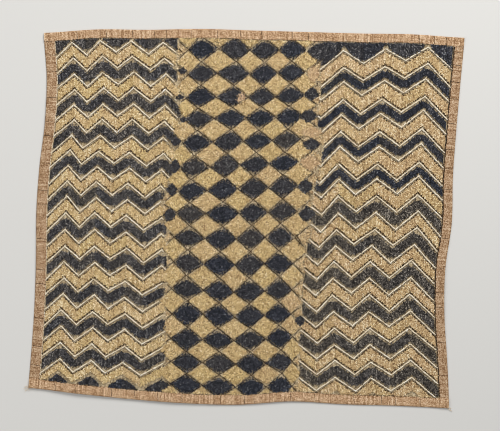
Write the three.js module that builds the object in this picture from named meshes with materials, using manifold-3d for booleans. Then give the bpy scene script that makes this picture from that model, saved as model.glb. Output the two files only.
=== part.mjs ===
// Kuba cut-pile raffia cloth, lying flat with its pile face up: a hand-woven raffia ground with a turned
// hem on all four sides, and a field of short cut pile worked as chevrons in the two outer panels and as
// diamonds in the middle one. Millimetres. +X runs along the top edge, +Y points to it, and +Z is up out
// of the pile. The origin is under the middle of the cloth, on the surface that it lies on.
import * as THREE from "three";
import { mergeVertices } from "three/addons/utils/BufferGeometryUtils.js";
import Module from "manifold-3d";

// The cloth as woven, before it was pulled out of square. Every place on it is given as "across",
// measured from its left edge, and "down", measured from its top edge.
const CLOTH_ACROSS = 560;
const CLOTH_DOWN = 484;

// Heights above the surface that the cloth lies on. The pile is rooted inside the ground.
const GROUND_TOP = 1.0;
const HEM_TOP = 2.0;
const PILE_TOP = 2.6;
const PILE_ROOT = 0.5;

// Width of the turned hem on each side, and the bare ground between it and the pile.
const HEM = { left: 14, top: 11.5, right: 13, bottom: 12.5 };
const HEM_MARGIN = 1.2;

// How far each corner has been pulled from the corner of the true rectangle.
const CORNER_PULL = {
  topLeft: { right: 10.4, up: 2.5 },
  topRight: { right: 10.3, up: -4.0 },
  bottomLeft: { right: -10.1, up: 14.1 },
  bottomRight: { right: -10.5, up: -13.2 },
};

// How far each side bulges out from the straight line between its corners, at equal steps along it. The
// top and bottom sides are read from the left, and the left and right sides from the top.
const SIDE_BULGE = [
  { top: 0.0, right: 0.0, bottom: 0.0, left: 0.0 },
  { top: 5.4, right: -3.0, bottom: 4.8, left: -6.4 },
  { top: 5.7, right: -5.9, bottom: 8.5, left: -6.8 },
  { top: 7.6, right: -7.6, bottom: 10.3, left: -1.9 },
  { top: 6.4, right: -6.6, bottom: 8.8, left: -0.4 },
  { top: 5.3, right: -12.7, bottom: 1.0, left: -2.6 },
  { top: 4.0, right: -11.2, bottom: 1.5, left: -3.3 },
  { top: 3.8, right: -4.8, bottom: 0.0, left: -2.1 },
  { top: 0.0, right: 0.0, bottom: 0.0, left: 0.0 },
];
const OUTLINE_STEP = 14;

// Where the middle panel of diamonds starts and ends across the cloth, at several places down it, and
// half of the bare strip left between two panels.
const PANEL_EDGES = [
  { down: 0, start: 178, end: 371 },
  { down: 60, start: 177, end: 371 },
  { down: 112, start: 185, end: 370 },
  { down: 145, start: 179, end: 381 },
  { down: 172, start: 184, end: 381 },
  { down: 205, start: 175, end: 371 },
  { down: 235, start: 170, end: 371 },
  { down: 262, start: 176, end: 370 },
  { down: 300, start: 180, end: 367 },
  { down: 345, start: 177, end: 365 },
  { down: 425, start: 181, end: 360 },
  { down: CLOTH_DOWN, start: 177, end: 358 },
];
const PANEL_MARGIN = 1.2;

// The turns of the chevron lines in each outer panel, from left to right: how far across and down each
// turn lies on the first line, on the middle one and on the last. A pile band fills the space between
// each line and the next.
const LEFT_TURNS = [
  { firstAcross: 9, firstDown: 39, middleAcross: 12, middleDown: 251, lastAcross: 11, lastDown: 465 },
  { firstAcross: 37, firstDown: 16, middleAcross: 40, middleDown: 223, lastAcross: 38, lastDown: 440 },
  { firstAcross: 55, firstDown: 33, middleAcross: 59, middleDown: 242, lastAcross: 58, lastDown: 456 },
  { firstAcross: 76, firstDown: 16, middleAcross: 79, middleDown: 223, lastAcross: 81, lastDown: 438 },
  { firstAcross: 96, firstDown: 31, middleAcross: 101, middleDown: 239, lastAcross: 100, lastDown: 453 },
  { firstAcross: 117, firstDown: 15, middleAcross: 122, middleDown: 223, lastAcross: 124, lastDown: 438 },
  { firstAcross: 139, firstDown: 32, middleAcross: 146, middleDown: 241, lastAcross: 148, lastDown: 453 },
  { firstAcross: 159, firstDown: 16, middleAcross: 167, middleDown: 225, lastAcross: 181, lastDown: 432 },
  { firstAcross: 190, firstDown: 42, middleAcross: 196, middleDown: 250, lastAcross: 212, lastDown: 458 },
];
const RIGHT_TURNS = [
  { firstAcross: 345, firstDown: 24, middleAcross: 352, middleDown: 236, lastAcross: 350, lastDown: 445 },
  { firstAcross: 370, firstDown: 49, middleAcross: 385, middleDown: 260, lastAcross: 384, lastDown: 469 },
  { firstAcross: 401, firstDown: 22, middleAcross: 406, middleDown: 235, lastAcross: 409, lastDown: 449 },
  { firstAcross: 427, firstDown: 39, middleAcross: 431, middleDown: 254, lastAcross: 435, lastDown: 466 },
  { firstAcross: 456, firstDown: 20, middleAcross: 457, middleDown: 233, lastAcross: 457, lastDown: 449 },
  { firstAcross: 484, firstDown: 35, middleAcross: 485, middleDown: 254, lastAcross: 483, lastDown: 466 },
  { firstAcross: 513, firstDown: 14, middleAcross: 514, middleDown: 229, lastAcross: 511, lastDown: 446 },
  { firstAcross: 555, firstDown: 48, middleAcross: 555, middleDown: 268, lastAcross: 554, lastDown: 480 },
];
const LINE_COUNT = 21;
const LINE_WIDTH = 3.6;

// The columns of dark diamonds across the middle panel, at its top, middle and bottom. The first and the
// last one only place the light diamonds beside them.
const DIAMOND_COLUMNS = [
  { top: 175, middle: 170, bottom: 165 },
  { top: 209, middle: 206, bottom: 209 },
  { top: 255, middle: 251, bottom: 252 },
  { top: 294, middle: 291, bottom: 296 },
  { top: 331, middle: 330, bottom: 337 },
  { top: 367, middle: 372, bottom: 365 },
];
// How far down each row of dark diamonds lies, where it crosses two places of the panel. Light diamonds
// lie halfway between the rows.
const ROW_LEFT_ACROSS = 209;
const ROW_RIGHT_ACROSS = 333;
const DIAMOND_ROWS = [
  { left: 26, right: 24 },
  { left: 58, right: 54 },
  { left: 88, right: 84 },
  { left: 116, right: 111 },
  { left: 146, right: 141 },
  { left: 178, right: 171 },
  { left: 209, right: 201 },
  { left: 239, right: 235 },
  { left: 270, right: 269 },
  { left: 302, right: 303 },
  { left: 337, right: 338 },
  { left: 369, right: 370 },
  { left: 401, right: 400 },
  { left: 431, right: 431 },
  { left: 460, right: 463 },
];
// How much of its place in the lattice a diamond fills each way, and how far out its four shoulders
// stand, where a half is a straight side.
const DARK_FILL = { wide: 0.88, tall: 0.77, shoulder: 0.6 };
const LIGHT_FILL = { wide: 0.87, tall: 0.87, shoulder: 0.53 };

// Motifs that fill the odd corners where the diamonds meet the chevrons.
const EDGE_MOTIFS = [
  { across: 184, down: 54, halfWidth: 6.5, halfHeight: 4.5 },
  { across: 181, down: 88, halfWidth: 6, halfHeight: 3.5 },
  { across: 188, down: 117, halfWidth: 4.5, halfHeight: 4 },
  { across: 181, down: 146, halfWidth: 7.5, halfHeight: 5.5 },
  { across: 183, down: 178, halfWidth: 7.5, halfHeight: 9 },
  { across: 181, down: 208, halfWidth: 8, halfHeight: 8 },
  { across: 180, down: 241, halfWidth: 8.5, halfHeight: 9 },
  { across: 178, down: 462, halfWidth: 8, halfHeight: 5.5 },
  { across: 369, down: 25, halfWidth: 17, halfHeight: 12 },
  { across: 361, down: 55, halfWidth: 9, halfHeight: 11 },
  { across: 360, down: 81, halfWidth: 10.5, halfHeight: 8.5 },
  { across: 358, down: 110, halfWidth: 12, halfHeight: 8.5 },
  { across: 363, down: 131, halfWidth: 15, halfHeight: 7 },
  { across: 365, down: 147, halfWidth: 12, halfHeight: 8 },
  { across: 366, down: 171, halfWidth: 14, halfHeight: 10 },
  { across: 361, down: 202, halfWidth: 10, halfHeight: 10 },
  { across: 364, down: 238, halfWidth: 11, halfHeight: 10 },
  { across: 362, down: 378, halfWidth: 7, halfHeight: 7 },
];
const EDGE_SHOULDER = 0.66;

const RAFFIA_COLOUR = 0xae9470;
const RAFFIA_ROUGHNESS = 0.9;

const wasm = await Module();
wasm.setup();

const mix = THREE.MathUtils.lerp;

const cornerAt = (name, left, top) => new THREE.Vector2(
  (left ? -CLOTH_ACROSS / 2 : CLOTH_ACROSS / 2) + CORNER_PULL[name].right,
  (top ? CLOTH_DOWN / 2 : -CLOTH_DOWN / 2) + CORNER_PULL[name].up,
);
const CORNERS = {
  topLeft: cornerAt("topLeft", true, true),
  topRight: cornerAt("topRight", false, true),
  bottomLeft: cornerAt("bottomLeft", true, false),
  bottomRight: cornerAt("bottomRight", false, false),
};

const sideCurve = (side) => new THREE.SplineCurve(
  SIDE_BULGE.map((row, step) => new THREE.Vector2(step, row[side])),
);
const SIDE_CURVES = {
  top: sideCurve("top"),
  right: sideCurve("right"),
  bottom: sideCurve("bottom"),
  left: sideCurve("left"),
};
const bulgeAt = (side, share) => SIDE_CURVES[side].getPoint(THREE.MathUtils.clamp(share, 0, 1)).y;

// A place on the cloth as woven, moved to where the pulled cloth has it.
function place(across, down) {
  const acrossShare = across / CLOTH_ACROSS;
  const downShare = down / CLOTH_DOWN;
  const above = CORNERS.topLeft.clone().lerp(CORNERS.topRight, acrossShare);
  const below = CORNERS.bottomLeft.clone().lerp(CORNERS.bottomRight, acrossShare);
  const point = above.lerp(below, downShare);
  point.x += acrossShare * bulgeAt("right", downShare) - (1 - acrossShare) * bulgeAt("left", downShare);
  point.y += (1 - downShare) * bulgeAt("top", acrossShare) - downShare * bulgeAt("bottom", acrossShare);
  return point;
}

// A closed outline through the corners of a patch of cloth, with a point at least every OUTLINE_STEP.
function patchOutline(corners) {
  const points = [];
  corners.forEach(([across, down], index) => {
    const [nextAcross, nextDown] = corners[(index + 1) % corners.length];
    const steps = Math.ceil(Math.hypot(nextAcross - across, nextDown - down) / OUTLINE_STEP);
    for (let step = 0; step < steps; step += 1) {
      const share = step / steps;
      points.push(place(mix(across, nextAcross, share), mix(down, nextDown, share)));
    }
  });
  return points;
}

function rectangle(left, top, right, bottom) {
  return [[left, top], [right, top], [right, bottom], [left, bottom]];
}

function toSolid(geometry) {
  geometry.deleteAttribute("normal");
  geometry.deleteAttribute("uv");
  const merged = mergeVertices(geometry);
  return new wasm.Manifold(new wasm.Mesh({
    numProp: 3,
    vertProperties: new Float32Array(merged.attributes.position.array),
    triVerts: new Uint32Array(merged.index.array),
  }));
}

// An upright prism on a flat outline, between two heights.
function prism(outline, low, high) {
  const geometry = new THREE.ExtrudeGeometry(new THREE.Shape(outline), {
    depth: high - low,
    bevelEnabled: false,
  });
  geometry.translate(0, 0, low);
  return toSolid(geometry);
}

function pilePrism(corners) {
  return prism(corners.map(([across, down]) => place(across, down)), PILE_ROOT, PILE_TOP);
}

// A value that goes evenly from first to middle and on to last, at a share of the whole way.
function through(first, middle, last, share) {
  return share < 0.5 ? mix(first, middle, 2 * share) : mix(middle, last, 2 * share - 1);
}

// One chevron line as a list of turns, moved down by a drop. Lines run on past the first and the last.
function chevronLine(turns, line, drop) {
  const share = line / (LINE_COUNT - 1);
  return turns.map((turn) => [
    through(turn.firstAcross, turn.middleAcross, turn.lastAcross, share),
    through(turn.firstDown, turn.middleDown, turn.lastDown, share) + drop,
  ]);
}

function chevronBands(turns) {
  const bands = [];
  for (let line = -1; line < LINE_COUNT + 1; line += 1) {
    const upper = chevronLine(turns, line, LINE_WIDTH / 2);
    const lower = chevronLine(turns, line + 1, -LINE_WIDTH / 2);
    bands.push(pilePrism([...upper, ...lower.reverse()]));
  }
  return bands;
}

// A raised diamond by its middle and half sizes. Shoulders past a half make it rounder.
function motif({ across, down, halfWidth, halfHeight }, shoulder) {
  const wide = shoulder * halfWidth;
  const tall = shoulder * halfHeight;
  return pilePrism([
    [across - halfWidth, down],
    [across - wide, down - tall],
    [across, down - halfHeight],
    [across + wide, down - tall],
    [across + halfWidth, down],
    [across + wide, down + tall],
    [across, down + halfHeight],
    [across - wide, down + tall],
  ]);
}

// How far down the lattice lies on a half row, where it crosses a place of the panel.
function rowDown(halfRow, across) {
  const row = halfRow / 2;
  const above = THREE.MathUtils.clamp(Math.floor(row), 0, DIAMOND_ROWS.length - 2);
  const share = (across - ROW_LEFT_ACROSS) / (ROW_RIGHT_ACROSS - ROW_LEFT_ACROSS);
  const upper = mix(DIAMOND_ROWS[above].left, DIAMOND_ROWS[above].right, share);
  const lower = mix(DIAMOND_ROWS[above + 1].left, DIAMOND_ROWS[above + 1].right, share);
  return mix(upper, lower, row - above);
}

// The diamonds of one half row: dark ones on the columns, or light ones between them.
function diamondRow(halfRow, dark) {
  const share = halfRow / (2 * (DIAMOND_ROWS.length - 1));
  const columns = DIAMOND_COLUMNS.map((column) => through(column.top, column.middle, column.bottom, share));
  const between = columns.slice(1).map((column, index) => (column + columns[index]) / 2);
  const [centres, tips] = dark ? [columns.slice(1, -1), between] : [between, columns];
  const fill = dark ? DARK_FILL : LIGHT_FILL;
  return centres.map((across, index) => motif({
    across,
    down: rowDown(halfRow, across),
    halfWidth: fill.wide * (tips[index + 1] - tips[index]) / 2,
    halfHeight: fill.tall * (rowDown(halfRow + 1, across) - rowDown(halfRow - 1, across)) / 2,
  }, fill.shoulder));
}

function diamonds() {
  const solids = [];
  for (let halfRow = -1; halfRow < 2 * DIAMOND_ROWS.length; halfRow += 1) {
    solids.push(...diamondRow(halfRow, halfRow % 2 === 0));
  }
  return solids;
}

// The part of the field inside the hem between two side edges, as a tall prism to cut its pile with. An
// edge gives how far across it lies at each of the heights in PANEL_EDGES.
function panelPrism(leftEdge, rightEdge) {
  const top = HEM.top + HEM_MARGIN;
  const bottom = CLOTH_DOWN - HEM.bottom - HEM_MARGIN;
  const downs = PANEL_EDGES.map((row) => THREE.MathUtils.clamp(row.down, top, bottom));
  const leftSide = downs.map((down, index) => [leftEdge(PANEL_EDGES[index]), down]);
  const rightSide = downs.map((down, index) => [rightEdge(PANEL_EDGES[index]), down]);
  return prism(patchOutline([...rightSide, ...leftSide.reverse()]), 0, PILE_TOP + 1);
}

function raffiaCloth() {
  const leftPanel = panelPrism(() => HEM.left + HEM_MARGIN, (row) => row.start - PANEL_MARGIN);
  const middlePanel = panelPrism((row) => row.start + PANEL_MARGIN, (row) => row.end - PANEL_MARGIN);
  const rightPanel = panelPrism(
    (row) => row.end + PANEL_MARGIN, () => CLOTH_ACROSS - HEM.right - HEM_MARGIN,
  );

  const blank = prism(patchOutline(rectangle(0, 0, CLOTH_ACROSS, CLOTH_DOWN)), 0, HEM_TOP);
  const field = rectangle(HEM.left, HEM.top, CLOTH_ACROSS - HEM.right, CLOTH_DOWN - HEM.bottom);
  const hemmedGround = blank.subtract(prism(patchOutline(field), GROUND_TOP, PILE_TOP + 1));

  const pile = [
    wasm.Manifold.union(chevronBands(LEFT_TURNS)).intersect(leftPanel),
    wasm.Manifold.union(diamonds()).intersect(middlePanel),
    wasm.Manifold.union(chevronBands(RIGHT_TURNS)).intersect(rightPanel),
    ...EDGE_MOTIFS.map((row) => motif(row, EDGE_SHOULDER)),
  ];
  const { vertProperties, triVerts } = wasm.Manifold.union([hemmedGround, ...pile]).getMesh();
  const geometry = new THREE.BufferGeometry();
  geometry.setAttribute("position", new THREE.BufferAttribute(vertProperties, 3));
  geometry.setIndex(new THREE.BufferAttribute(triVerts, 1));
  geometry.computeVertexNormals();
  geometry.computeBoundingBox();

  const cloth = new THREE.Mesh(geometry, new THREE.MeshStandardMaterial({
    color: RAFFIA_COLOUR,
    roughness: RAFFIA_ROUGHNESS,
    metalness: 0,
    flatShading: true,
  }));
  cloth.name = "raffia_cloth";
  const middle = geometry.boundingBox.getCenter(new THREE.Vector3());
  cloth.position.set(-middle.x, -middle.y, 0);
  return cloth;
}

const kubaCloth = new THREE.Group();
kubaCloth.add(raffiaCloth());

export default kubaCloth;
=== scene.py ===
"""Kuba raffia cloth, laid flat with its pile face up: a hand-woven ground with a turned hem, chevrons and
diamonds of standing cut pile, and the stem-stitched lines between them."""

import math
from collections import namedtuple

import bmesh
import bpy
import numpy as np
from mathutils import Matrix, Vector


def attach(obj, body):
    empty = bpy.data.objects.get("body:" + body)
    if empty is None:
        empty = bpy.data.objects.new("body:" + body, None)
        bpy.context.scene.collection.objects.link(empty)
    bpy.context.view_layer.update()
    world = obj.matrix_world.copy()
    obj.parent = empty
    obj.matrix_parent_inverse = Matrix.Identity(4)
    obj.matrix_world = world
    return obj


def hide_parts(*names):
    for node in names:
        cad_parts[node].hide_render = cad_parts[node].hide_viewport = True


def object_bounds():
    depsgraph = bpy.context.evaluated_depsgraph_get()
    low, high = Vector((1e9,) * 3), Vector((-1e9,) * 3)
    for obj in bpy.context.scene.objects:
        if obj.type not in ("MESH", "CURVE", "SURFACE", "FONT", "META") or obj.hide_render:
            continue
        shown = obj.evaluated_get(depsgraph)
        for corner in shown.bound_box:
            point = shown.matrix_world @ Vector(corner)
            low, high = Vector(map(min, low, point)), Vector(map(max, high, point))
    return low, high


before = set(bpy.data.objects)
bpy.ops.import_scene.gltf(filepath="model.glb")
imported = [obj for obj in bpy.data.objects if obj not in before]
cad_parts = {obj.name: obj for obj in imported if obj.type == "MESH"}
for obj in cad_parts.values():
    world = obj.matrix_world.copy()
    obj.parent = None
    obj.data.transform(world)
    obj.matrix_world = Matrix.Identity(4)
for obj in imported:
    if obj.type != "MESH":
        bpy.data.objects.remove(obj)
CAD_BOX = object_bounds()
rng = np.random.default_rng(11)

# Sizes of the cloth, in millimetres. "Across" is measured from the left edge and "down" from the top edge of
# the cloth as woven, before it was pulled out of square.
MM = 0.001
CLOTH_ACROSS = 560.0
CLOTH_DOWN = 484.0
GROUND_TOP = 1.0
GROUND_THICK = 0.9
GROUND_STEP = 6.0
HEM_TOP = 2.0
BED_TOP = 2.2
PILE_ROOT = 0.9
PILE_TOP = 2.6

HemWidth = namedtuple("HemWidth", "left top right bottom")
HEM = HemWidth(left=14.0, top=11.5, right=13.0, bottom=12.5)
# Painted light and shade on the hems: one value scales each side's colour, the top and bottom lighter and the
# sides darker, as the light falls on them.
HEM_PAINTED_SHADE = HemWidth(left=0.82, top=0.97, right=0.83, bottom=1.02)

# How far each corner has been pulled from the corner of the true rectangle.
Pull = namedtuple("Pull", "right up")
TOP_LEFT_PULL = Pull(10.4, 2.5)
TOP_RIGHT_PULL = Pull(10.3, -4.0)
BOTTOM_LEFT_PULL = Pull(-10.1, 14.1)
BOTTOM_RIGHT_PULL = Pull(-10.5, -13.2)

# How far each side bulges out from the straight line between its corners, at equal steps along it.
Bulge = namedtuple("Bulge", "top right bottom left")
SIDE_BULGE = [
    Bulge(0.0, 0.0, 0.0, 0.0),
    Bulge(5.4, -3.0, 4.8, -6.4),
    Bulge(5.7, -5.9, 8.5, -6.8),
    Bulge(7.6, -7.6, 10.3, -1.9),
    Bulge(6.4, -6.6, 8.8, -0.4),
    Bulge(5.3, -12.7, 1.0, -2.6),
    Bulge(4.0, -11.2, 1.5, -3.3),
    Bulge(3.8, -4.8, 0.0, -2.1),
    Bulge(0.0, 0.0, 0.0, 0.0),
]

# Where the cloth stands a little off the surface: the middle of each low wave, how far it reaches and its rise.
Wave = namedtuple("Wave", "across down reach rise")
EDGE_WAVES = [
    Wave(70, 484, 55, 2.2),
    Wave(190, 488, 60, 1.6),
    Wave(330, 486, 45, 0.9),
    Wave(-4, 110, 45, 1.5),
    Wave(-4, 300, 60, 1.1),
    Wave(562, 330, 50, 1.6),
    Wave(562, 120, 40, 0.8),
    Wave(200, -4, 70, 0.7),
    Wave(420, -4, 60, 0.9),
]

# Where the middle panel starts and ends across the cloth, at several places down it.
PanelEdge = namedtuple("PanelEdge", "down start end")
PANEL_EDGES = [
    PanelEdge(0, 178, 371),
    PanelEdge(60, 177, 371),
    PanelEdge(112, 185, 370),
    PanelEdge(145, 179, 381),
    PanelEdge(172, 184, 381),
    PanelEdge(205, 175, 371),
    PanelEdge(235, 170, 371),
    PanelEdge(262, 176, 370),
    PanelEdge(300, 180, 367),
    PanelEdge(345, 177, 365),
    PanelEdge(425, 181, 360),
    PanelEdge(484, 177, 358),
]

# The turns of the chevron lines, from left to right: where each turn lies on the first, middle and last line.
Turn = namedtuple("Turn", "first_across first_down middle_across middle_down last_across last_down")
LEFT_TURNS = [
    Turn(9, 39, 12, 251, 11, 465),
    Turn(37, 16, 40, 223, 38, 440),
    Turn(55, 33, 59, 242, 58, 456),
    Turn(76, 16, 79, 223, 81, 438),
    Turn(96, 31, 101, 239, 100, 453),
    Turn(117, 15, 122, 223, 124, 438),
    Turn(139, 32, 146, 241, 148, 453),
    Turn(159, 16, 167, 225, 181, 432),
    Turn(190, 42, 196, 250, 212, 458),
]
RIGHT_TURNS = [
    Turn(345, 24, 352, 236, 350, 445),
    Turn(370, 49, 385, 260, 384, 469),
    Turn(401, 22, 406, 235, 409, 449),
    Turn(427, 39, 431, 254, 435, 466),
    Turn(456, 20, 457, 233, 457, 449),
    Turn(484, 35, 485, 254, 483, 466),
    Turn(513, 14, 514, 229, 511, 446),
    Turn(555, 48, 555, 268, 554, 480),
]
LINE_COUNT = 21

# The freshest dark bands of the right panel are narrower, so the lines beside them are pinched together.
FRESH_RIGHT_LINES = range(1, 9)
PINCH = 1.3

# The last dark band of the left panel was worked higher, so its points clear the bottom hem.
LEFT_END_RISE = 3.0

# The band above the first line runs up under the top hem.
UNDER_HEM = 16.0

# The columns of dark diamonds across the middle panel. The first and last only place the light diamonds there.
Column = namedtuple("Column", "top middle bottom")
DIAMOND_COLUMNS = [
    Column(175, 170, 165),
    Column(209, 206, 209),
    Column(255, 251, 252),
    Column(294, 291, 296),
    Column(331, 330, 337),
    Column(367, 372, 365),
]

# How far down each row of dark diamonds lies, where it crosses two places of the panel.
Row = namedtuple("Row", "left right")
ROW_LEFT_ACROSS = 209
ROW_RIGHT_ACROSS = 333
DIAMOND_ROWS = [
    Row(26, 24),
    Row(58, 54),
    Row(88, 84),
    Row(116, 111),
    Row(146, 141),
    Row(178, 171),
    Row(209, 201),
    Row(239, 235),
    Row(270, 269),
    Row(302, 303),
    Row(337, 338),
    Row(369, 370),
    Row(401, 400),
    Row(431, 431),
    Row(460, 463),
]

# Motifs that fill the odd corners where the diamonds meet the chevrons. The light ones are repairs.
EdgeMotif = namedtuple("EdgeMotif", "across down half_width half_height dark")
EDGE_MOTIFS = [
    EdgeMotif(184, 54, 6.5, 4.5, True),
    EdgeMotif(181, 88, 6, 3.5, True),
    EdgeMotif(188, 117, 4.5, 4, True),
    EdgeMotif(181, 146, 7.5, 5.5, True),
    EdgeMotif(183, 178, 7.5, 9, True),
    EdgeMotif(181, 208, 8, 8, True),
    EdgeMotif(180, 241, 8.5, 9, True),
    EdgeMotif(178, 462, 8, 5.5, True),
    EdgeMotif(369, 25, 17, 12, True),
    EdgeMotif(361, 55, 9, 11, False),
    EdgeMotif(360, 81, 10.5, 8.5, True),
    EdgeMotif(358, 110, 12, 8.5, True),
    EdgeMotif(363, 131, 15, 7, False),
    EdgeMotif(365, 147, 12, 8, True),
    EdgeMotif(366, 171, 14, 10, False),
    EdgeMotif(361, 202, 10, 10, True),
    EdgeMotif(364, 238, 11, 10, True),
    EdgeMotif(362, 378, 7, 7, True),
]
EDGE_ROUNDNESS = 1.35
EDGE_TONE = {True: 0.3, False: 0.75}

# Spots where the dark pile has worn away and pale strands show.
WornSpot = namedtuple("WornSpot", "across down half_width half_height")
WORN_SPOTS = [WornSpot(265, 88, 8, 9)]

# Photograph: its size in pixels, the real size of a pixel, and the pixel over the middle of the cloth.
PHOTO_WIDTH = 500
PHOTO_HEIGHT = 431
TOP_EDGE_PIXELS = 421.0
PIXEL = CLOTH_ACROSS / TOP_EDGE_PIXELS
CLOTH_PIXEL = (246.5, 218.7)


# The cloth's shape

def side_bulge(side, share):
    """The bulge of a side at shares of its length, on a smooth curve through the table."""
    column = np.array([getattr(row, side) for row in SIDE_BULGE])
    last = len(column) - 1
    at = np.clip(share, 0, 1) * last
    start = np.clip(np.floor(at).astype(int), 0, last - 1)
    t = at - start
    before, here = column[np.maximum(start - 1, 0)], column[start]
    after, beyond = column[start + 1], column[np.minimum(start + 2, last)]
    leave, arrive = (after - before) / 2, (beyond - here) / 2
    cubic = 2 * here - 2 * after + leave + arrive
    square = -3 * here + 3 * after - 2 * leave - arrive
    return cubic * t ** 3 + square * t ** 2 + leave * t + here


def pulled(across, down):
    """Where the pulled cloth has a point of the cloth as woven, in millimetres from the rectangle's middle."""
    s, t = across / CLOTH_ACROSS, down / CLOTH_DOWN
    weights = ((1 - s) * (1 - t), s * (1 - t), (1 - s) * t, s * t)
    pulls = (TOP_LEFT_PULL, TOP_RIGHT_PULL, BOTTOM_LEFT_PULL, BOTTOM_RIGHT_PULL)
    x = across - CLOTH_ACROSS / 2 + sum(w * p.right for w, p in zip(weights, pulls))
    y = CLOTH_DOWN / 2 - down + sum(w * p.up for w, p in zip(weights, pulls))
    x = x + s * side_bulge("right", t) - (1 - s) * side_bulge("left", t)
    y = y + (1 - t) * side_bulge("top", s) - t * side_bulge("bottom", s)
    return x, y


def outline_middle():
    """The middle of the pulled cloth's box."""
    run = np.linspace(0, 1, 400)
    zero, one = np.zeros(400), np.ones(400)
    s = np.concatenate([run, run, zero, one])
    t = np.concatenate([zero, one, run, run])
    x, y = pulled(s * CLOTH_ACROSS, t * CLOTH_DOWN)
    return (x.min() + x.max()) / 2, (y.min() + y.max()) / 2


MIDDLE_X, MIDDLE_Y = outline_middle()


def wave_lift(across, down):
    """How far the cloth stands off the surface."""
    lift = 0
    for wave in EDGE_WAVES:
        away = ((across - wave.across) ** 2 + (down - wave.down) ** 2) / wave.reach ** 2
        lift = lift + wave.rise * np.exp(-away)
    return lift


def place(across, down, height):
    """Points of the cloth as woven, in millimetres, as points of the laid cloth, in metres."""
    across, down, height = np.broadcast_arrays(across, down, height)
    across, down = across.astype(float), down.astype(float)
    x, y = pulled(across, down)
    z = height + wave_lift(across, down)
    return np.stack([x - MIDDLE_X, y - MIDDLE_Y, z], axis=-1) * MM


def hand_drift(points):
    """Points moved by the slow wander of work that was counted by eye."""
    across, down = points[..., 0], points[..., 1]
    drift_across = 0.5 * np.sin(down / 17 + across / 41) + 0.4 * np.sin(down / 7.3 - across / 23)
    drift_down = 0.5 * np.sin(across / 19 - down / 53) + 0.3 * np.sin(across / 8.1 + down / 31)
    return points + np.stack([drift_across, drift_down], axis=-1)


def through(first, middle, last, share):
    """Values that go evenly from first to middle and on to last, at shares of the whole way."""
    early = first + 2 * share * (middle - first)
    late = middle + (2 * share - 1) * (last - middle)
    return np.where(share < 0.5, early, late)


def panel_edge(which, down):
    """Where the middle panel starts or ends: a ragged line, because each row ends where its stitch ended."""
    straight = np.interp(down, [row.down for row in PANEL_EDGES], [getattr(row, which) for row in PANEL_EDGES])
    return straight + 1.1 * np.sin(down / 9.7) + 0.8 * np.sin(down / 4.1)


# Materials

def linear(hex_colour):
    """An sRGB hex colour as linear red, green, blue and alpha."""
    parts = [int(hex_colour[i:i + 2], 16) / 255 for i in (1, 3, 5)]
    return [p / 12.92 if p <= 0.04045 else ((p + 0.055) / 1.055) ** 2.4 for p in parts] + [1.0]


# The kinds of node that the materials use most, and the settings that dim a colour by a share.
MATHS = "ShaderNodeMath"
MIX = "ShaderNodeMix"
NOISE = "ShaderNodeTexNoise"
ATTRIBUTE = "ShaderNodeAttribute"
RAMP = "ShaderNodeValToRGB"
DIMMING = {"data_type": "RGBA", "blend_type": "MULTIPLY"}

# How often each pattern repeats in a millimetre: blotches about 9 mm wide, streaks about 14 mm, the grain of a
# woven strip about 2 mm, and the grain between the roots of the pile about 1 mm.
BLOTCHES_PER_MM = 0.11
STREAKS_PER_MM = 0.07
STRIP_GRAIN_PER_MM = 0.55
ROOT_GRAIN_PER_MM = 0.9


def node(tree, kind, settings=(), inputs=(), output=None):
    """Adds a node, sets its settings, and gives each named input a value or a link. The result is the node, or
    one of its outputs."""
    made = tree.nodes.new(kind)
    for name, value in dict(settings).items():
        setattr(made, name, value)
    for name, value in dict(inputs).items():
        if isinstance(value, bpy.types.NodeSocket):
            tree.links.new(value, made.inputs[name])
        else:
            made.inputs[name].default_value = value
    return made if output is None else made.outputs[output]


def lay_colours(run, stops):
    """Lays pairs of position and hex colour on a run of colours."""
    while len(run.elements) < len(stops):
        run.elements.new(1.0)
    for element, (position, hex_colour) in zip(run.elements, stops):
        element.position = position
        element.color = linear(hex_colour)


def new_material(name):
    material = bpy.data.materials.new(name)
    material.use_nodes = True
    shader = material.node_tree.nodes["Principled BSDF"]
    return material, material.node_tree, shader


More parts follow.
